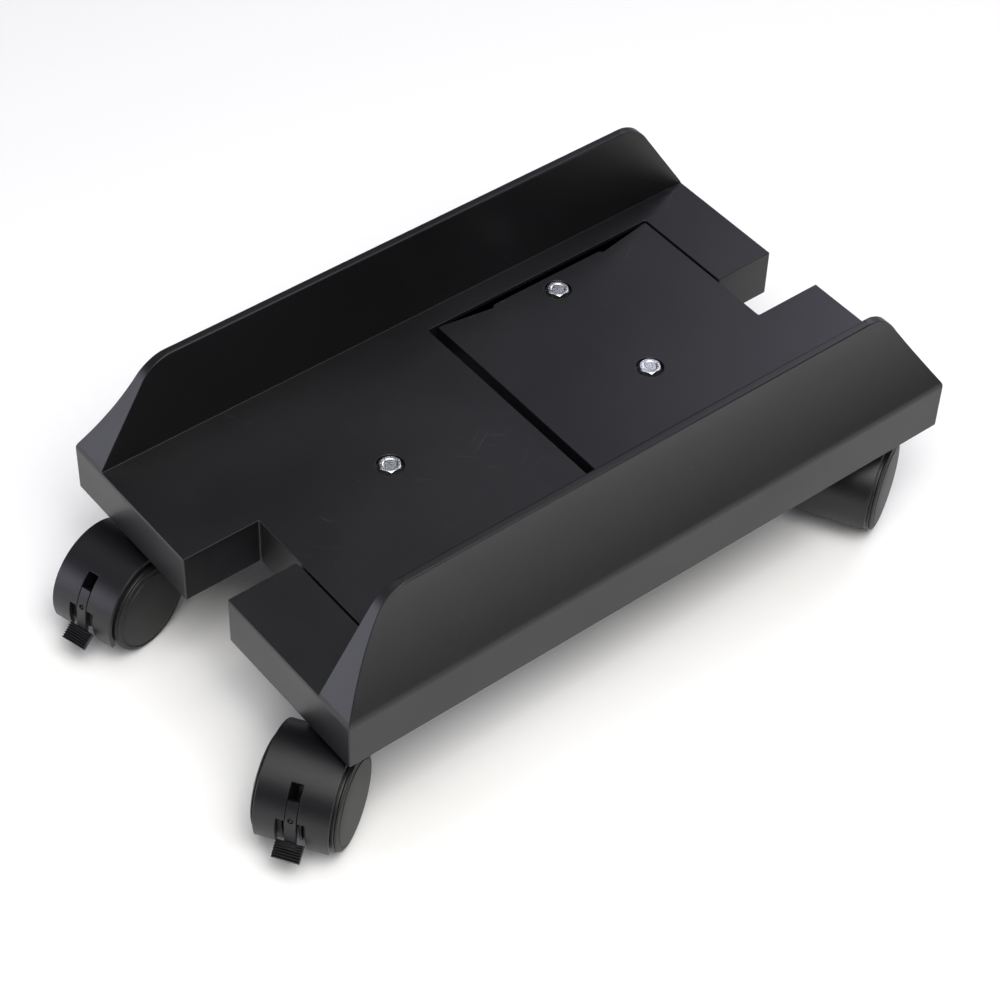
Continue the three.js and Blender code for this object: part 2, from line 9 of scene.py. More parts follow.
import bmesh
import bpy
from mathutils import Matrix, Vector
from mathutils.bvhtree import BVHTree
from mathutils.geometry import delaunay_2d_cdt


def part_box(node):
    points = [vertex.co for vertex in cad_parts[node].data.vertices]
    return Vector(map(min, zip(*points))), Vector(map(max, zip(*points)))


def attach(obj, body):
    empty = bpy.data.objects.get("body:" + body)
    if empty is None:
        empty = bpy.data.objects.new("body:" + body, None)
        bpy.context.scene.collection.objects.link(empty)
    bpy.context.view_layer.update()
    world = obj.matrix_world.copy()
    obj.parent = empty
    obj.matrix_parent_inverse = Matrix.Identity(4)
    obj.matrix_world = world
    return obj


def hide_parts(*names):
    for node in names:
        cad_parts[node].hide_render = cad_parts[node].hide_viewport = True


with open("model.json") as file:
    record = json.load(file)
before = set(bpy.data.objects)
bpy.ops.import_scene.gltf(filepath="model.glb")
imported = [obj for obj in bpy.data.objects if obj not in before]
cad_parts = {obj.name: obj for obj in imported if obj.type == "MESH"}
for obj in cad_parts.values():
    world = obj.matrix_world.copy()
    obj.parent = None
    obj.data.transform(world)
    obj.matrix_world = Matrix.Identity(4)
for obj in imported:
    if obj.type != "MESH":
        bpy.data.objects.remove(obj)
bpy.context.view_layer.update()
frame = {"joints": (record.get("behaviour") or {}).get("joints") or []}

MM = 0.001
TINY = 1e-6

# ---- sizes, in millimetres ------------------------------------------------------------------
PAST = 1.0  # how far a cutter reaches past what it cuts
SKIN = 3.0
TRAY_DEPTH = 30.5
HALF_WIDTH = 121.4
CORNER_R = 1.0
RIB = 2.0
DEEP_RIB = -27.0
SHALLOW_RIB = -9.0
CROSS_RIBS = (-150, -90, -30, 30, 90, 150)
GAP = 0.3
STROKE = 55.0
TONGUE_TIP = 80.5
RECESS_WALL = -82.0
TIP_LIP = 2.0
SECTION_END = TONGUE_TIP + 40.0  # the drawn section runs on, and the plan trims it at the tip
SIDE_END = TONGUE_TIP + 50.0
MOULDED_EDGE = 0.4
METAL_EDGE = 0.12

WALL_HEIGHT = 57.5
WALL_INNER_BASE = 95.7
WALL_INNER_TOP = 97.9
WALL_OUTER_TOP = 103.0
FLARE_POWER = 1.7
FLARE_ROUND = 2.6
TOP_OUTER_ROUND = 1.0
TOP_INNER_ROUND = 1.2
END_ROUND = 9.0
END_SLOPE = math.radians(57)
END_RADIUS = 23.25
WALL_SHELL = 2.8
HOLLOW_TOP = 35.0

RUNNER_TOP = -5.4
RUNNER_THICK = 3.4
RUNNER_TIP = 80.0
RUNNER_SIDE_GAP = 0.8
RUNNER_RAIL = 2.5
RUNNER_RAIL_FLOOR = -14.0

LEFT = dict(near=-203.2, far=200.3, outer=-156.2, inner=1.9, recess=160.7, near_strip=-18.3,
            far_strip=-17.4, bolts=[(-10.2, -77.7), (69.4, -77.1)])
RIGHT = dict(near=-203.2, far=200.3, outer=-159.2, inner=-7.8, recess=157.7, near_strip=-18.3,
             far_strip=-17.4, bolts=[(-14.3, -82.1), (65.3, -81.5)])

SCREW_BORE_R = 3.3
POCKET_R = 7.75
POCKET_DEPTH = 3.0
POCKET_BOSS_R = 10.5
POCKET_BOSS_FLOOR = -5.0
SOCKET_R = 11.0
SOCKET_BORE_R = 6.0
SOCKET_TOP = -5.0
PIVOT_X = 83.5
PIVOT_Y = 186.7

TRAIL = 24.0
AXLE_Z = -68.6
WHEEL_R = 26.8
HOOD_OUTER = 31.6
HOOD_INNER = 29.2
HOOD_HALF = 20.2
HOOD_Y = -TRAIL + 1.2
HOOD_Z = AXLE_Z + 0.4
HOOD_FROM = math.radians(-18)
HOOD_TO = math.radians(186)
WEB_HALF = 4.8
HUB_R = 8.0
BOSS_R = 9.5
BOSS_TOP = -32.6
BOSS_BOTTOM = -60.0
STEM_BOTTOM = -44.0
STEM_BORE_R = 5.6
AXLE_BORE_R = 3.3

LEVER_HALF = 3.0
LEVER_TOP = math.radians(37.5)
LEVER_BEND = math.radians(15)
LEVER_INNER = 28.1
LEVER_PIN_R = 1.5
LEVER_PIN_AT = (25.5, math.radians(27))
LEVER_EYE_R = 3.4
LEVER_DIMPLE_AT = math.radians(17.5)
LEVER_SLOT_HALF = 3.3
LEVER_SLOT_TO = math.radians(54.5)
LEVER_SLOT_FLOOR = 14.0
LEVER_BAY_HALF = 8.0
LEVER_BAY_TO = math.radians(16)
CUTS_FROM = math.radians(-34)
PAD_HALF = 7.5
PAD_FROM = (30.8, -4.9)
PAD_TO = (38.7, -10.5)
PAD_THICK = 2.6
PAD_NECK = 4.0
PAD_RIDGES = 7
PAD_RIDGE_HEIGHT = 0.7
PAD_RIDGE = ((0.14, -0.9), (0.34, 0.85), (0.5, 1.0), (0.66, 0.85), (0.86, -0.9))  # shares of pitch, height


# ---- places, from the frame -----------------------------------------------------------------
left_low, left_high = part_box("left_tray")
_, right_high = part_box("right_tray")
DECK_Z = left_high.z
PLAN = Vector(((left_low.x + right_high.x) / 2, (left_low.y + right_high.y) / 2, DECK_Z))
joints = {joint["name"]: joint for joint in frame["joints"]}


# ---- mesh tools -----------------------------------------------------------------------------
def object_from(name, bm):
    bmesh.ops.recalc_face_normals(bm, faces=bm.faces)
    mesh = bpy.data.meshes.new(name)
    bm.to_mesh(mesh)
    bm.free()
    obj = bpy.data.objects.new(name, mesh)
    bpy.context.scene.collection.objects.link(obj)
    return obj


def prism(outline, low, high, plane="XY"):
    """A prism on an outline drawn in a plane, between two places along the third axis."""
    order = {"XY": lambda a, b, c: (a, b, c), "YZ": lambda a, b, c: (c, a, b),
             "XZ": lambda a, b, c: (a, c, b)}[plane]
    bm = bmesh.new()
    rings = []
    for level in (low, high):
        rings.append([bm.verts.new(order(a, b, level)) for a, b in outline])
    bm.faces.new(rings[0])
    bm.faces.new(rings[1])
    count = len(outline)
    for i in range(count):
        j = (i + 1) % count
        bm.faces.new((rings[0][i], rings[0][j], rings[1][j], rings[1][i]))
    return object_from("prism", bm)


def block(x0, x1, y0, y1, z0, z1):
    return prism([(x0, y0), (x1, y0), (x1, y1), (x0, y1)], z0, z1)


def turned(profile, axis="X", steps=96):
    """A solid of revolution. The profile is a closed run of (radius, distance along the axis)."""
    bm = bmesh.new()
    rings = []
    for radius, along in profile:
        if radius < TINY:
            rings.append([bm.verts.new(axis_point(axis, 0, 0, along))])
            continue
        ring = []
        for step in range(steps):
            turn = 2 * math.pi * step / steps
            at = axis_point(axis, radius * math.cos(turn), radius * math.sin(turn), along)
            ring.append(bm.verts.new(at))
        rings.append(ring)
    for first, second in zip(rings, rings[1:] + rings[:1]):
        if len(first) == 1 and len(second) == 1:
            continue
        for step in range(steps):
            after = (step + 1) % steps
            corners = []
            for ring, picks in ((first, (step, after)), (second, (after, step))):
                picks = picks if len(ring) > 1 else (0,)
                corners += [ring[pick] for pick in picks]
            bm.faces.new(corners)
    return object_from("turned", bm)


def axis_point(axis, across, up, along):
    return (along, across, up) if axis == "X" else (across, up, along)


def rounded(points, radii, steps=5):
    """A closed outline with each corner rounded by its own radius."""
    if not isinstance(radii, (list, tuple)):
        radii = [radii] * len(points)
    out = []
    for i, radius in enumerate(radii):
        at = Vector(points[i])
        before = Vector(points[i - 1]) - at
        after = Vector(points[(i + 1) % len(points)]) - at
        if radius <= 0:
            out.append(tuple(at))
            continue
        before, after = before.normalized(), after.normalized()
        half = before.angle(after) / 2
        reach = radius / math.tan(half)
        centre = at + (before + after).normalized() * (radius / math.sin(half))
        start, end = at + before * reach - centre, at + after * reach - centre
        sweep = start.angle_signed(end)
        for step in range(steps + 1):
            out.append(tuple(centre + Matrix.Rotation(-sweep * step / steps, 2) @ start))
    return out


def boolean(target, tools, operation):
    """Joins to, cuts from or trims the target by each tool in turn, and removes the tools."""
    for tool in tools:
        modifier = target.modifiers.new("boolean", "BOOLEAN")
        modifier.operation = operation
        modifier.solver = "MANIFOLD"
        modifier.object = tool
        bake_modifiers(target)
        bpy.data.objects.remove(tool)
    return target


def bake_modifiers(obj):
    depsgraph = bpy.context.evaluated_depsgraph_get()
    mesh = bpy.data.meshes.new_from_object(obj.evaluated_get(depsgraph))
    obj.modifiers.clear()
    obj.data = mesh


def weld(obj, distance, flats=False):
    """Merges points that all but touch and, if asked, the coplanar faces that cutting leaves."""
    bm = bmesh.new()
    bm.from_mesh(obj.data)
    bmesh.ops.remove_doubles(bm, verts=bm.verts, dist=distance)
    bmesh.ops.dissolve_degenerate(bm, edges=bm.edges, dist=distance)
    if flats:
        bmesh.ops.dissolve_limit(bm, angle_limit=math.radians(0.4), verts=bm.verts, edges=bm.edges)
    bm.to_mesh(obj.data)
    bm.free()


def mend_crossed(obj):
    """Redraws the faces whose outline crosses itself where bevels meet, and fills open slits."""
    inside_only, touching = 1, 1e-5
    bm = bmesh.new()
    bm.from_mesh(obj.data)
    crossed = set()
    for loops in bm.calc_loop_triangles():
        a, b, c = (loop.vert.co for loop in loops)
        if (b - a).cross(c - a).dot(loops[0].face.normal) < 0:
            crossed.add(loops[0].face)
    for face in sorted(crossed, key=lambda face: face.index):
        across = face.normal.orthogonal().normalized()
        up = face.normal.cross(across)
        origin = face.verts[0].co.copy()
        outline = [Vector(((vert.co - origin).dot(across), (vert.co - origin).dot(up)))
                   for vert in face.verts]
        points, _, triangles, sources, _, _ = delaunay_2d_cdt(outline, [], [range(len(outline))],
                                                              inside_only, touching)
        verts = [face.verts[source[0]] if source else bm.verts.new(origin + across * point.x + up * point.y)
                 for point, source in zip(points, sources)]
        bmesh.ops.delete(bm, geom=[face], context="FACES_ONLY")
        fresh = []
        for triangle in triangles:
            corners = [verts[i] for i in triangle]
            if len(set(corners)) == 3 and not bm.faces.get(corners):
                fresh.append(bm.faces.new(corners))
        bmesh.ops.dissolve_faces(bm, faces=fresh)
    bmesh.ops.delete(bm, geom=[edge for edge in bm.edges if edge.is_wire], context="EDGES")
    bmesh.ops.holes_fill(bm, edges=[edge for edge in bm.edges if edge.is_boundary], sides=0)
    bmesh.ops.recalc_face_normals(bm, faces=bm.faces)
    bm.to_mesh(obj.data)
    bm.free()


def soften(obj, width, angle=28, segments=3):
    """Rounds the edges sharper than an angle, turns the piece into metres and smooths its shading."""
    stray, weld_share = 0.7, 0.12
    if width:
        weld(obj, 1e-3, flats=True)
        mesh = obj.data
        faces = [list(polygon.vertices) for polygon in mesh.polygons]
        before = BVHTree.FromPolygons([vertex.co.copy() for vertex in mesh.vertices], faces)
        bevel = obj.modifiers.new("bevel", "BEVEL")
        bevel.width = width
        bevel.segments = segments
        bevel.limit_method = "ANGLE"
        bevel.angle_limit = math.radians(angle)
        bevel.use_clamp_overlap = False
        bevel.miter_outer = "MITER_ARC"
        bake_modifiers(obj)
        for vertex in obj.data.vertices:
            nearest, _, _, distance = before.find_nearest(vertex.co)
            if distance > stray * width:
                vertex.co = nearest
        weld(obj, weld_share * width)
        mend_crossed(obj)
    obj.data.transform(Matrix.Scale(MM, 4))
    for polygon in obj.data.polygons:
        polygon.use_smooth = True
    obj.data.set_sharp_from_angle(angle=math.radians(40))
    normals = obj.modifiers.new("normals", "WEIGHTED_NORMAL")
    normals.keep_sharp = True
    normals.weight = 60
    bake_modifiers(obj)
    return obj


def place(obj, name, matrix, body, nodes, material):
    """Names a piece, sets it in place, ties it to its body and finish, and hides the CAD nodes it stands
    for.
    """
    obj.name = name
    obj.data = obj.data.copy()
    obj.data.name = name
    obj.data.transform(matrix.to_3x3().to_4x4())
    obj.matrix_world = Matrix.Translation(matrix.translation)
    obj.data.materials.clear()
    obj.data.materials.append(material)
    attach(obj, body)
    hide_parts(*nodes)
    return obj


def copy_of(obj):
    twin = bpy.data.objects.new(obj.name, obj.data)
    bpy.context.scene.collection.objects.link(twin)
    return twin


# ---- camera, floor and light ----------------------------------------------------------------
CAMERA_AZIMUTH = math.radians(50.066)
CAMERA_ELEVATION = math.radians(46.230)
CAMERA_ROLL = math.radians(2.385)
CAMERA_TARGET = Vector((44.711, -46.860, 0)) * MM
CAMERA_DISTANCE = 1417.866 * MM
CAMERA_LENS = 97.514
SENSOR = 36.0


def add_camera():
    level = math.cos(CAMERA_ELEVATION)
    back = Vector((math.sin(CAMERA_AZIMUTH) * level, -math.cos(CAMERA_AZIMUTH) * level,
                   math.sin(CAMERA_ELEVATION)))
    right = Vector((0, 0, 1)).cross(back).normalized()
    up = back.cross(right)
    rotation = Matrix((right, up, back)).transposed() @ Matrix.Rotation(CAMERA_ROLL, 3, "Z")
    data = bpy.data.cameras.new("camera")
    data.sensor_width = SENSOR
    data.lens = CAMERA_LENS
    camera = bpy.data.objects.new("camera", data)
    bpy.context.scene.collection.objects.link(camera)
    position = PLAN + CAMERA_TARGET + back * CAMERA_DISTANCE
    camera.matrix_world = Matrix.Translation(position) @ rotation.to_4x4()
    bpy.context.scene.camera = camera


def aim(obj, position, target):
    direction = Vector(target) - Vector(position)
    rotation = direction.to_track_quat("-Z", "Y").to_matrix()
    obj.matrix_world = Matrix.Translation(position) @ rotation.to_4x4()


def add_softbox(name, azimuth, elevation, distance, size, power, color):
    """A square soft light that faces the deck, seen from it at an azimuth from the front end."""
    data = bpy.data.lights.new(name, "AREA")
    data.shape = "SQUARE"
    data.size = size
    data.energy = power
    data.color = color
    light = bpy.data.objects.new(name, data)
    bpy.context.scene.collection.objects.link(light)
    azimuth, elevation = math.radians(azimuth), math.radians(elevation)
    level = math.cos(elevation) * distance
    aim(light, (math.sin(azimuth) * level, -math.cos(azimuth) * level, math.sin(elevation) * distance),
        (0, 0, DECK_Z))


def add_studio():
    reach, thick = 3000, 20
    floor = block(-reach, reach, -reach, reach, -thick, 0)
    floor.data.transform(Matrix.Scale(MM, 4))
    floor.name = "floor"
    floor.data.materials.append(floor_material())
    world = bpy.data.worlds.new("world")
    world.use_nodes = True
    background = world.node_tree.nodes["Background"]
    background.inputs["Color"].default_value = (0.9, 0.93, 1.0, 1)
    background.inputs["Strength"].default_value = 0.03
    bpy.context.scene.world = world
    cool = (0.84, 0.84, 1.0)
    warm = (1.0, 0.99, 0.965)
    add_softbox("overhead", 0, 90, 2.2, 1.4, 14, warm)
    add_softbox("right", 90, 60, 2.2, 1.2, 24, warm)
    add_softbox("front_right", 45, 60, 2.2, 1.3, 23, warm)
    add_softbox("front_left", 332, 10, 2.2, 1.1, 17, cool)
    add_softbox("rear", 198, 38, 2.4, 1.1, 16, cool)
    bpy.context.scene.view_settings.view_transform = "Standard"


# ---- materials ------------------------------------------------------------------------------
class Nodes:
    """A small helper that adds shader nodes and links them by socket name."""

    def __init__(self, name):
        self.material = bpy.data.materials.new(name)
        self.material.use_nodes = True
        self.tree = self.material.node_tree
        self.shader = self.tree.nodes["Principled BSDF"]

    def add(self, kind, settings=None, **inputs):
        node = self.tree.nodes.new(kind)
        for key, value in (settings or {}).items():
            setattr(node, key, value)
        for key, value in inputs.items():
            self.feed(node, key.replace("_", " "), value)
        return node

    def feed(self, node, socket, value):
        target = node.inputs[socket] if isinstance(socket, (str, int)) else socket
        if isinstance(value, bpy.types.NodeSocket):
            self.tree.links.new(value, target)
        else:
            target.default_value = value

    def surface(self, socket, value):
        self.feed(self.shader, socket, value)


def mapped(nodes, stretch, turn=(0, 0, 0)):
    """Object coordinates, turned and then stretched along their own axes."""
    where = nodes.add("ShaderNodeTexCoord").outputs["Object"]
    mapping = nodes.add("ShaderNodeMapping", {"vector_type": "TEXTURE"}, Vector=where,
                        Rotation=turn, Scale=stretch)
    return mapping.outputs["Vector"]


def noise(nodes, scale, detail=2.0, stretch=(1, 1, 1), turn=(0, 0, 0), rough=0.5):
    return nodes.add("ShaderNodeTexNoise", Vector=mapped(nodes, stretch, turn), Scale=scale,
                     Detail=detail, Roughness=rough).outputs["Fac"]


def ramp(nodes, value, low, high, to_low=0.0, to_high=1.0):
    return nodes.add("ShaderNodeMapRange", Value=value, From_Min=low, From_Max=high, To_Min=to_low,
                     To_Max=to_high).outputs["Result"]


def mix_color(nodes, factor, first, second):
    node = nodes.add("ShaderNodeMix", {"data_type": "RGBA"})
    nodes.feed(node, node.inputs[0], factor)
    nodes.feed(node, node.inputs[6], first)
    nodes.feed(node, node.inputs[7], second)
    return node.outputs[2]


def maths(nodes, operation, first, second):
    node = nodes.add("ShaderNodeMath", {"operation": operation})
    nodes.feed(node, 0, first)
    nodes.feed(node, 1, second)
    return node.outputs[0]


def moulded_plastic(name, color, scuff, rough=(0.36, 0.48), grain=0.10, scratches=0.5):
    """Black moulded plastic: a fine spark-eroded grain, faint scratches, specks of dust."""
    nodes = Nodes(name)
    patches = noise(nodes, 9.0, 4.0)
    scratch = None
    for turn, length in ((0.5, 60), (-0.7, 25), (1.9, 35)):
        line = noise(nodes, 1300.0, 1.0, (1, length, 1), (0, 0, turn))
        line = ramp(nodes, line, 0.68, 0.76)
        line = maths(nodes, "MULTIPLY", line, ramp(nodes, noise(nodes, 17.0 + 5 * turn), 0.5, 0.68))
        scratch = line if scratch is None else maths(nodes, "MAXIMUM", scratch, line)
    specks = nodes.add("ShaderNodeTexVoronoi", Vector=mapped(nodes, (1, 1, 1)), Scale=170.0)
    speck = ramp(nodes, specks.outputs["Distance"], 0.085, 0.05)
    speck = maths(nodes, "MULTIPLY", speck, ramp(nodes, noise(nodes, 60.0), 0.57, 0.65))
    marks = maths(nodes, "MULTIPLY", maths(nodes, "MAXIMUM", scratch, speck), scratches)
    tone = mix_color(nodes, ramp(nodes, patches, 0.3, 0.7), color, [1.35 * c for c in color[:3]] + [1])
    nodes.surface("Base Color", mix_color(nodes, marks, tone, scuff))
    roughness = ramp(nodes, patches, 0.25, 0.75, *rough)
    nodes.surface("Roughness", maths(nodes, "ADD", roughness, maths(nodes, "MULTIPLY", marks, 0.15)))
    height = noise(nodes, 2600.0, 3.0, rough=0.6)
    height = maths(nodes, "SUBTRACT", height, maths(nodes, "MULTIPLY", scratch, 0.35))
    bump = nodes.add("ShaderNodeBump", Height=height, Strength=grain, Distance=0.0002)
    nodes.surface("Normal", bump.outputs["Normal"])
    return nodes.material


def plated_metal(name, color, tint, rough, spangle=0.25):
    """Zinc-plated or bright steel, with cloudy plating and small dents."""
    nodes = Nodes(name)
    cloud = noise(nodes, 420.0, 4.0)
    nodes.surface("Base Color", mix_color(nodes, ramp(nodes, cloud, 0.35, 0.65), color, tint))
    nodes.surface("Metallic", 1.0)
    nodes.surface("Roughness", ramp(nodes, cloud, 0.3, 0.7, *rough))
    height = maths(nodes, "ADD", noise(nodes, 900.0, 3.0), noise(nodes, 2600.0, 2.0))
    bump = nodes.add("ShaderNodeBump", Height=height, Strength=spangle, Distance=0.0003)
    nodes.surface("Normal", bump.outputs["Normal"])
    return nodes.material


def floor_material():
    nodes = Nodes("floor_paper")
    nodes.surface("Base Color", (0.93, 0.93, 0.93, 1))
    nodes.surface("Roughness", 0.9)
    nodes.surface("Specular IOR Level", 0.1)
    return nodes.material


moulded_black = moulded_plastic("moulded_black", (0.0042, 0.0043, 0.0054, 1), (0.06, 0.06, 0.07, 1),
                                scratches=0.35)
caster_black = moulded_plastic("caster_black", (0.0030, 0.0031, 0.0045, 1), (0.03, 0.03, 0.035, 1),
                               (0.34, 0.46), 0.08, 0.3)
wheel_black = moulded_plastic("wheel_black", (0.0055, 0.0055, 0.0055, 1), (0.05, 0.05, 0.048, 1),
                              (0.4, 0.55), 0.14, 0.5)
cap_black = moulded_plastic("cap_black", (0.0045, 0.0045, 0.0045, 1), (0.05, 0.05, 0.05, 1),
                            (0.5, 0.62), 0.10, 0.4)
zinc = plated_metal("zinc_plate", (0.80, 0.82, 0.84, 1), (0.62, 0.65, 0.66, 1), (0.22, 0.42), 0.35)
steel = plated_metal("bright_steel", (0.62, 0.63, 0.65, 1), (0.5, 0.51, 0.53, 1), (0.2, 0.34), 0.12)


# ---- the moulded halves ---------------------------------------------------------------------
def plan_outline(half, inset, tip):
    outer = -HALF_WIDTH + inset
    return [
        (outer, half["near"] + inset),
        (half["near_strip"] - inset, half["near"] + inset),
        (half["near_strip"] - inset, half["outer"] + inset),
        (tip, half["outer"] + inset),
        (tip, half["inner"] - inset),
        (RECESS_WALL - inset, half["inner"] - inset),
        (RECESS_WALL - inset, half["recess"] + inset),
        (half["far_strip"] - inset, half["recess"] + inset),
        (half["far_strip"] - inset, half["far"] - inset),
        (outer, half["far"] - inset),
    ]


def wall_outer(z):
    return WALL_OUTER_TOP + (HALF_WIDTH - WALL_OUTER_TOP) * (1 - z / WALL_HEIGHT) ** FLARE_POWER


def wall_inner(z):
    return WALL_INNER_BASE + (WALL_INNER_TOP - WALL_INNER_BASE) * z / WALL_HEIGHT


def half_section():
    """Cross-section of a half: skirt, flare, rounded wall top, inner face, and the deck."""
    steps, soft_steps = 26, 8
    flare = [(-wall_outer(WALL_HEIGHT * i / steps), WALL_HEIGHT * i / steps)
             for i in range(2, steps + 1)]
    start = Vector((-HALF_WIDTH, -FLARE_ROUND))
    corner = Vector((-HALF_WIDTH, 0))
    end = Vector((-wall_outer(FLARE_ROUND), FLARE_ROUND))
    soft = [tuple(start * (1 - t) ** 2 + corner * 2 * t * (1 - t) + end * t * t)
            for t in (i / soft_steps for i in range(soft_steps + 1))]
    points = [(-HALF_WIDTH, -TRAY_DEPTH)] + soft + flare
    radii = [0.0] * len(points)
    radii[-1] = TOP_OUTER_ROUND
    points += [(-wall_inner(WALL_HEIGHT), WALL_HEIGHT), (-wall_inner(0), 0), (SECTION_END, 0),
               (SECTION_END, -TRAY_DEPTH)]
    return rounded(points, radii + [TOP_INNER_ROUND, 0.0, 0.0, 0.0], 4)


def wall_side(half):
    """Side view of a half: level top, arcs and sloping ends over the skirts."""
    straight = WALL_HEIGHT - END_RADIUS * (1 - math.cos(END_SLOPE))
    run = straight / math.tan(END_SLOPE)
    reach = run + END_RADIUS * math.sin(END_SLOPE)
    centre_z = WALL_HEIGHT - END_RADIUS
    points = [(half["near"], -TRAY_DEPTH), (half["far"], -TRAY_DEPTH), (half["far"], 0)]
    radii = [0.0, 0.0, END_ROUND]
    steps = 16
    for i in range(steps + 1):
        angle = math.pi / 2 - END_SLOPE * (1 - i / steps)
        points.append((half["far"] - reach + END_RADIUS * math.cos(angle),
                       centre_z + END_RADIUS * math.sin(angle)))
    for i in range(steps + 1):
        angle = math.pi / 2 + END_SLOPE * i / steps
        points.append((half["near"] + reach + END_RADIUS * math.cos(angle),
                       centre_z + END_RADIUS * math.sin(angle)))
    points.append((half["near"], 0))
    return rounded(points, radii + [0.0] * (len(points) - 4) + [END_ROUND])


def wall_hollow(half):
    inset = SKIN / math.sin(END_SLOPE)
    lean = HOLLOW_TOP / math.tan(END_SLOPE)
    near, far = half["near"] + inset, half["far"] - inset
    side = [(near, -2 * SKIN), (far, -2 * SKIN), (far, 0), (far - lean, HOLLOW_TOP),
            (near + lean, HOLLOW_TOP), (near, 0)]
    steps = 10
    levels = [HOLLOW_TOP * i / steps for i in range(steps + 1)]
    up = [(-(wall_outer(z) - WALL_SHELL), z) for z in levels]
    down = [(-(wall_inner(z) + WALL_SHELL), z) for z in reversed(levels)]
    foot = -SKIN - WALL_SHELL
    section = [(up[0][0], foot)] + up + down + [(down[-1][0], foot)]
    hollow = prism(section, half["near"], half["far"], "XZ")
    return boolean(hollow, [prism(side, -HALF_WIDTH, -WALL_INNER_BASE, "YZ")], "INTERSECT")


def rib_blocks(half):
    """Ribs under the deck. Their ends lie inside the skirts."""
    outer = -HALF_WIDTH + SKIN / 2
    top = -SKIN / 2
    partition = RECESS_WALL - SKIN
    bury = SKIN / 3
    ribs = [block(outer, RECESS_WALL - SKIN / 2, y - RIB / 2, y + RIB / 2, SHALLOW_RIB, top)
            for y in CROSS_RIBS]
    ribs.append(block(partition, partition + RIB, half["outer"] + bury, half["inner"] - bury, DEEP_RIB,
                      top))
    ribs.append(block(partition, half["near_strip"], half["outer"], half["outer"] + SKIN, DEEP_RIB, top))
    spans = ((half["near"] + bury, half["outer"] + bury), (half["recess"] + bury, half["far"] - bury))
    for low, high in spans:
        for x, floor in ((-PIVOT_X, DEEP_RIB), (-PIVOT_X / 2, SHALLOW_RIB)):
            ribs.append(block(x - RIB / 2, x + RIB / 2, low, high, floor, top))
    return ribs


def slot_outline(x0, x1, y, r, steps=12):
    right = [(x1 + r * math.cos(a), y + r * math.sin(a)) for a in
             (math.pi * (i / steps - 0.5) for i in range(steps + 1))]
    left = [(x0 + r * math.cos(a), y + r * math.sin(a)) for a in
            (math.pi * (i / steps + 0.5) for i in range(steps + 1))]
    return right + left


def disc(x, y, r, z0, z1, steps=48):
    outline = [(x + r * math.cos(2 * math.pi * i / steps), y + r * math.sin(2 * math.pi * i / steps))
               for i in range(steps)]
    return prism(outline, z0, z1)


def runner(half, other):
    """The slotted plate that slides under the other half's tongue."""
    y0 = -other["inner"] + SKIN + RUNNER_SIDE_GAP
    y1 = -other["outer"] - SKIN - RUNNER_SIDE_GAP
    x0 = RECESS_WALL - SKIN / 2
    floor = RUNNER_TOP - RUNNER_THICK
    plate = block(x0, RUNNER_TIP, y0, y1, floor, RUNNER_TOP)
    rails = [block(x0, RUNNER_TIP, y0, y0 + RUNNER_RAIL, RUNNER_RAIL_FLOOR, floor + PAST),
             block(x0, RUNNER_TIP, y1 - RUNNER_RAIL, y1, RUNNER_RAIL_FLOOR, floor + PAST)]
    slots = [prism(slot_outline(-x, -x + STROKE, -y, SCREW_BORE_R), floor - PAST, RUNNER_TOP + PAST)
             for x, y in other["bolts"]]
    boolean(plate, rails, "UNION")
    return boolean(plate, slots, "DIFFERENCE")


def build_half(half, other):
    """A half in one moulding: tray, side wall, ribs, caster sockets, screw pockets and runner."""
    body = prism(half_section(), half["near"] - PAST, half["far"] + PAST, "XZ")
    outline = rounded(plan_outline(half, 0, TONGUE_TIP), CORNER_R)
    plan = prism(outline, -TRAY_DEPTH - PAST, WALL_HEIGHT + PAST)
    side = prism(wall_side(half), -HALF_WIDTH - PAST, SIDE_END, "YZ")
    boolean(body, [plan, side], "INTERSECT")
    hollows = [
        prism(plan_outline(half, SKIN, TONGUE_TIP - TIP_LIP), -SKIN - TIP_LIP - PAST, -SKIN),
        prism(plan_outline(half, SKIN, TONGUE_TIP + PAST), -TRAY_DEPTH - PAST, -SKIN - TIP_LIP),
        wall_hollow(half),
    ]
    boolean(body, hollows, "DIFFERENCE")
    ends = (-PIVOT_Y, PIVOT_Y)
    bosses = [disc(-PIVOT_X, y, SOCKET_R, -TRAY_DEPTH, -SKIN / 2) for y in ends]
    bosses += [disc(x, y, POCKET_BOSS_R, POCKET_BOSS_FLOOR, -SKIN / 2) for x, y in half["bolts"]]
    boolean(body, rib_blocks(half) + [runner(half, other)] + bosses, "UNION")
    bores = [disc(-PIVOT_X, y, SOCKET_BORE_R, -TRAY_DEPTH - PAST, SOCKET_TOP) for y in ends]
    for x, y in half["bolts"]:
        bores.append(disc(x, y, SCREW_BORE_R, POCKET_BOSS_FLOOR - PAST, PAST, steps=32))
        bores.append(disc(x, y, POCKET_R, -POCKET_DEPTH, PAST, steps=64))
    boolean(body, bores, "DIFFERENCE")
    return soften(body, MOULDED_EDGE)


def add_halves():
    turn = Matrix.Rotation(math.pi, 4, "Z")
    for side, half, other, matrix in (("left", LEFT, RIGHT, Matrix()), ("right", RIGHT, LEFT, turn)):
        name = side + "_half"
        nodes = [f"{side}_{part}" for part in ("tray", "side_wall", "runner")]
        place(build_half(half, other), side + "_moulding", Matrix.Translation(PLAN) @ matrix, name, nodes,
              moulded_black)


# ---- screws, washers and nuts ---------------------------------------------------------------
def hexagon(flats, turn=math.pi / 6):
    r = flats / math.sqrt(3)
    return [(r * math.cos(turn + math.pi * i / 3), r * math.sin(turn + math.pi * i / 3)) for i in range(6)]


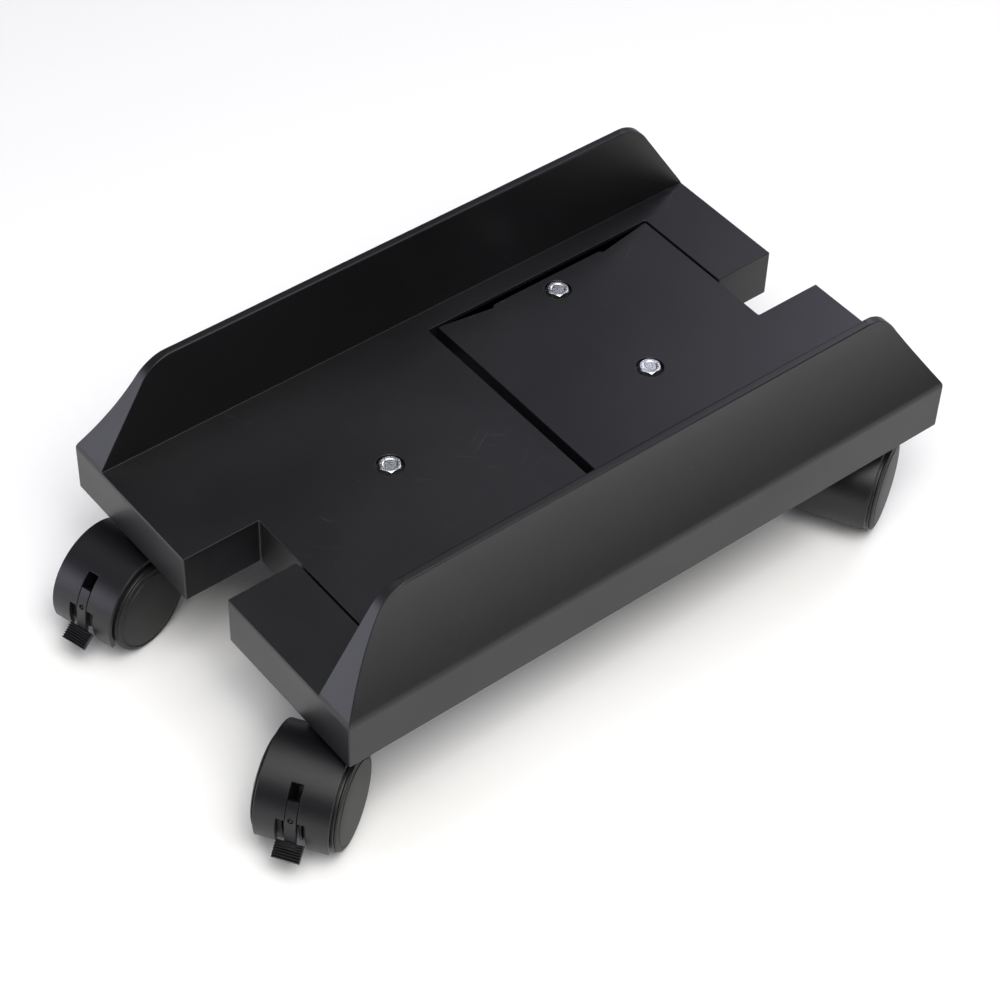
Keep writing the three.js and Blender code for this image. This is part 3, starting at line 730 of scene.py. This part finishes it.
def build_screw():
    """Hex head with a chamfered crown and a shallow dished top, on a shank with a ringed thread."""
    flats, head_top, head_floor, tip = 11.4, 1.0, -2.7, -18.5
    wide, chamfer, crown_r = 8.0, 1.4, flats / 2 - 0.15
    dish, dish_edge, dish_r = 0.35, 4.2, 3.6
    head = prism(hexagon(flats), head_floor, head_top)
    crown = turned([(0, head_floor - PAST), (wide, head_floor - PAST), (wide, head_top - chamfer),
                    (crown_r, head_top), (dish_edge, head_top), (dish_r, head_top - dish),
                    (0, head_top - dish)], "Z")
    boolean(head, [crown], "INTERSECT")
    pitch, depth, r, lead, plain, overlap = 1.0, 0.5, 3.0, 0.4, 1.5, 0.5
    root = r - depth
    thread = [(0, tip), (root, tip)]
    z = tip + lead
    while z < head_floor - plain - pitch:
        thread += [(r, z + 0.3), (r, z + 0.45), (root, z + 0.75), (root, z + pitch - 0.1)]
        z += pitch
    thread += [(root, head_floor - plain), (r, head_floor - 1), (r, head_floor + overlap),
               (0, head_floor + overlap)]
    boolean(head, [turned(thread, "Z", 48)], "UNION")
    return soften(head, METAL_EDGE, angle=25, segments=2)


def build_nut():
    flats, top, thick = 10.0, -10.9, 5.0
    r, corner_r, chamfer = flats / 2, flats / 2 + 1, 0.6
    mouth_r, mouth = 4.0, 0.4
    floor = top - thick
    nut = prism(hexagon(flats), floor, top)
    outside = turned([(0, floor), (r, floor), (corner_r, floor + chamfer), (corner_r, top - chamfer),
                      (r, top), (0, top)], "Z")
    bore = turned([(0, floor - PAST), (mouth_r, floor - PAST), (SCREW_BORE_R, floor + mouth),
                   (SCREW_BORE_R, top - mouth), (mouth_r, top + PAST), (0, top + PAST)], "Z", 48)
    boolean(nut, [outside], "INTERSECT")
    boolean(nut, [bore], "DIFFERENCE")
    return soften(nut, METAL_EDGE, angle=25, segments=2)


def build_washer():
    top, thick, r, edge = -9.1, 1.5, 9.0, 0.25
    corners = [(SCREW_BORE_R, top - thick), (r, top - thick), (r, top), (SCREW_BORE_R, top)]
    return soften(turned(rounded(corners, edge, 3), "Z", 64), 0)


def add_fasteners():
    parts = {"bolt": build_screw(), "nut": build_nut(), "washer": build_washer()}
    for side in ("left", "right"):
        for number in (1, 2):
            for kind, shape in parts.items():
                node = f"{side}_{kind}_{number}"
                low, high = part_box(node)
                middle = (low + high) / 2
                at = Matrix.Translation((middle.x, middle.y, DECK_Z))
                degrees = 37 * number + (11 if side == "left" else 0) if kind == "washer" else 0
                turn = Matrix.Rotation(math.radians(degrees), 4, "Z")
                place(copy_of(shape), f"{node}_plated", at @ turn, side + "_half", [node], zinc)
    for shape in parts.values():
        bpy.data.objects.remove(shape)


# ---- casters --------------------------------------------------------------------------------
def about_hood(r, angle):
    return (HOOD_Y - r * math.cos(angle), HOOD_Z + r * math.sin(angle))


def sector(inner, outer, start, end, steps):
    arc = [start + (end - start) * i / steps for i in range(steps + 1)]
    return [about_hood(outer, a) for a in arc] + [about_hood(inner, a) for a in reversed(arc)]


def axle_disc(y, z, r, half, steps=48):
    outline = [(y + r * math.cos(2 * math.pi * i / steps), z + r * math.sin(2 * math.pi * i / steps))
               for i in range(steps)]
    return prism(outline, -half, half, "YZ")


def build_caster_body(braked):
    """Hood, web and stem boss in one moulding, with room for the brake lever if it has one."""
    hood = prism(sector(HOOD_INNER, HOOD_OUTER, HOOD_FROM, HOOD_TO, 72), -HOOD_HALF, HOOD_HALF, "YZ")
    middle, web_steps = (HOOD_INNER + HOOD_OUTER) / 2, 40
    hub_from, hub_sweep, hub_steps = 25, 130, 10
    web = [about_hood(middle, HOOD_FROM + (HOOD_TO - HOOD_FROM) * i / web_steps)
           for i in range(web_steps + 1)]
    web += [(-TRAIL + HUB_R * math.cos(a), AXLE_Z - HUB_R * math.sin(a)) for a in
            (math.radians(hub_from + hub_sweep * i / hub_steps) for i in range(hub_steps + 1))]
    boss = disc(0, 0, BOSS_R, BOSS_BOTTOM, BOSS_TOP, 72)
    boolean(boss, [axle_disc(HOOD_Y, HOOD_Z, HOOD_INNER, 100, 144)], "DIFFERENCE")
    boolean(hood, [boss, prism(web, -WEB_HALF, WEB_HALF, "YZ")], "UNION")
    cuts = [disc(0, 0, STEM_BORE_R, STEM_BOTTOM - GAP, BOSS_TOP + 5),
            axle_disc(-TRAIL, AXLE_Z, AXLE_BORE_R, WEB_HALF + PAST)]
    if braked:
        far = HOOD_OUTER + 5
        cuts.append(prism(sector(LEVER_SLOT_FLOOR, far, CUTS_FROM, LEVER_SLOT_TO, 16),
                          -LEVER_SLOT_HALF, LEVER_SLOT_HALF, "YZ"))
        cuts.append(prism(sector(HOOD_INNER - PAST, far, CUTS_FROM, LEVER_BAY_TO, 12),
                          -LEVER_BAY_HALF, LEVER_BAY_HALF, "YZ"))
        cuts.append(axle_disc(*about_hood(*LEVER_PIN_AT), LEVER_PIN_R + GAP, WEB_HALF + PAST, 24))
    boolean(hood, cuts, "DIFFERENCE")
    return soften(hood, MOULDED_EDGE)


def build_wheel():
    """A wheel with a recessed inner face, a rounded tread and a dished outer face."""
    inner, recess, outer, dish = 5.5, 6.6, 21.7, 13.7
    bore, hub, web, rim = AXLE_BORE_R, 6.5, 17.5, 22.0
    profile = rounded([(bore, inner), (hub, inner), (hub, recess), (web, recess), (web, inner),
                       (WHEEL_R, inner), (WHEEL_R, outer), (rim, outer), (rim, dish), (bore, dish)],
                      [0.3, 0.3, 0.3, 0.3, 0.3, 1.2, 0.8, 0.3, 0.4, 0.3], 4)
    return soften(turned(profile, "X", 144), 0)


def build_cap():
    """The wheel's domed cover, with a groove just inside its rim."""
    base, rise, r, power = 22.0, 2.8, 26.3, 2.5
    plug_r, plug = 20.9, 5
    rim_turn, rim_steps, crown_r, crown_steps = 23, 12, 22.7, 16

    def dome(at):
        return base + rise * (1 - (at / r) ** power) ** (1 / power)

    rim = [(r * math.cos(turn), dome(r * math.cos(turn)))
           for turn in (math.radians(rim_turn) * i / rim_steps for i in range(rim_steps + 1))]
    groove = [(at, dome(at) - depth)
              for at, depth in ((23.95, 0.25), (23.6, 0.55), (23.2, 0.55), (22.9, 0.3))]
    crown = [(crown_r * math.cos(turn), dome(crown_r * math.cos(turn)))
             for turn in (math.radians(90) * i / crown_steps for i in range(crown_steps + 1))]
    crown[-1] = (0, base + rise)
    plug_profile = [(0, base - plug), (plug_r, base - plug), (plug_r, base)]
    return soften(turned(plug_profile + rim + groove + crown, "X", 144), 0)


def build_axle():
    half, r = 13, 3
    profile = rounded([(0, -half), (r, -half), (r, half), (0, half)], [0, 0.5, 0.5, 0], 3)
    return soften(turned(profile, "X", 48), 0)


def build_stem():
    """Stem with a collar that bears on the socket, and a groove for the grip ring."""
    r, collar_r, groove_r, tip_r = 5.3, 7.5, 4.2, 3.8
    collar_low, collar_high, groove_low, groove_high, cone, top = -32.3, -30.8, -17.3, -11.7, -9.5, -8
    profile = [(0, STEM_BOTTOM), (r, STEM_BOTTOM), (r, collar_low), (collar_r, collar_low),
               (collar_r, collar_high), (r, collar_high), (r, groove_low), (groove_r, groove_low),
               (groove_r, groove_high), (r, groove_high), (r, cone), (tip_r, top), (0, top)]
    radii = [0, 0.4, 0.2, 0.3, 0.3, 0.2, 0.2, 0.2, 0.2, 0.2, 0.5, 0.4, 0]
    return soften(turned(rounded(profile, radii, 3), "Z", 64), 0)


def build_grip_ring():
    """Split ring that holds the stem in its socket."""
    inner, outer, low, high, split = 4.7, 5.7, -17, -12, 0.8
    profile = rounded([(inner, low), (outer, low), (outer, high), (inner, high)], 0.3, 3)
    ring = turned(profile, "Z", 64)
    boolean(ring, [block(-split, split, 0, 10, -20, -8)], "DIFFERENCE")
    return soften(ring, 0.1, angle=40, segments=2)


def build_pin():
    profile = rounded([(0, -WEB_HALF), (LEVER_PIN_R, -WEB_HALF), (LEVER_PIN_R, WEB_HALF), (0, WEB_HALF)],
                      [0, 0.3, 0.3, 0], 3)
    return soften(turned(profile, "X", 32), 0)


def build_lever():
    """An arm flush with the hood, an eye for its pin, and a ridged pad for the foot."""
    start = Vector((-TRAIL - PAD_FROM[0], AXLE_Z + PAD_FROM[1]))
    end = Vector((-TRAIL - PAD_TO[0], AXLE_Z + PAD_TO[1]))
    along = (end - start).normalized()
    inward = Vector((-along.y, along.x))
    if inward.x < 0:
        inward.negate()

    def at(distance, depth):
        return tuple(start + along * distance + inward * depth)

    steps = 10
    arm = [about_hood(HOOD_OUTER, LEVER_TOP + (LEVER_BEND - LEVER_TOP) * i / steps)
           for i in range(steps + 1)]
    arm += [at(0.2, 0.1), at(PAD_NECK, 0.6), at(PAD_NECK, PAD_THICK - 0.1), at(0, 1.3 * PAD_THICK)]
    arm += [about_hood(LEVER_INNER, LEVER_BEND), about_hood(LEVER_INNER, (LEVER_BEND + LEVER_TOP) / 2),
            about_hood(LEVER_INNER, LEVER_TOP)]
    lever = prism(arm, -LEVER_HALF, LEVER_HALF, "YZ")
    length = (end - start).length
    pitch = length / PAD_RIDGES
    pad = [at(0, 0.1)]
    for ridge in range(PAD_RIDGES):
        for share, height in PAD_RIDGE:
            pad.append(at(pitch * (ridge + share), -PAD_RIDGE_HEIGHT * height))
    pad += [at(length, PAD_THICK), at(0, PAD_THICK)]
    eye = axle_disc(*about_hood(*LEVER_PIN_AT), LEVER_EYE_R, LEVER_HALF, 32)
    boolean(lever, [eye, prism(pad, -PAD_HALF, PAD_HALF, "YZ")], "UNION")
    dimple = turned([(0, -1.5), (1.0, -1.5), (1.5, -1.0), (1.5, 2), (0, 2)], "Z", 32)
    dimple.data.transform(Matrix.Translation((0, *about_hood(HOOD_OUTER, LEVER_DIMPLE_AT)))
                          @ Matrix.Rotation(math.pi / 2 - LEVER_DIMPLE_AT, 4, "X"))
    bore = axle_disc(*about_hood(*LEVER_PIN_AT), LEVER_PIN_R + GAP, LEVER_HALF + PAST, 24)
    boolean(lever, [dimple, bore], "DIFFERENCE")
    return soften(lever, 0.2, angle=32, segments=2)


def caster_matrix(place_name):
    """The caster's own frame: stem axis at the origin, axle along X, deck at z = 0."""
    pivot = Vector(joints[f"{place_name}_swivel"]["pos_m"])
    axis = Vector(joints[f"{place_name}_wheel_outer_spin"]["axis"])
    turn = math.atan2(axis.y, axis.x)
    return Matrix.Translation((pivot.x, pivot.y, DECK_Z)) @ Matrix.Rotation(turn, 4, "Z")


def add_casters():
    shapes = {
        "body": build_caster_body(False),
        "braked_body": build_caster_body(True),
        "wheel": build_wheel(),
        "cap": build_cap(),
        "axle": build_axle(),
        "stem": build_stem(),
        "ring": build_grip_ring(),
        "pin": build_pin(),
        "lever": build_lever(),
    }
    axle = Matrix.Translation((0, -TRAIL * MM, AXLE_Z * MM))
    pin_y, pin_z = about_hood(*LEVER_PIN_AT)
    pin = Matrix.Translation((0, pin_y * MM, pin_z * MM))
    for corner in ("left_front", "right_front", "right_rear", "left_rear"):
        side, end = corner.split("_")
        braked = end == "front"
        base = caster_matrix(corner)
        caster = corner + "_caster"

        def add(shape, label, local, body, node, material):
            place(copy_of(shapes[shape]), f"{corner}_{label}", base @ local, body, [node], material)

        add("braked_body" if braked else "body", "hood", Matrix(), caster, caster + "_body",
            caster_black)
        add("stem", "stem", Matrix(), caster, caster + "_stem", steel)
        add("axle", "axle_pin", axle, caster, caster + "_axle", steel)
        for which, turn in (("outer", 0.0), ("inner", math.pi)):
            local = axle @ Matrix.Rotation(turn, 4, "Z")
            body = f"{corner}_wheel_{which}"
            add("wheel", f"{which}_wheel", local, body, body, wheel_black)
            add("cap", f"{which}_cap", local, body, f"{corner}_wheel_cap_{which}", cap_black)
        if braked:
            add("lever", "lever", Matrix(), corner + "_brake", corner + "_brake_lever",
                caster_black)
            add("pin", "lever_pin", pin, caster, corner + "_brake_pin", steel)
        pivot = Matrix.Translation(base.translation)
        place(copy_of(shapes["ring"]), corner + "_ring", pivot, side + "_half", [corner + "_grip_ring"],
              steel)
    for shape in shapes.values():
        bpy.data.objects.remove(shape)


add_camera()
add_studio()
add_halves()
add_fasteners()
add_casters()
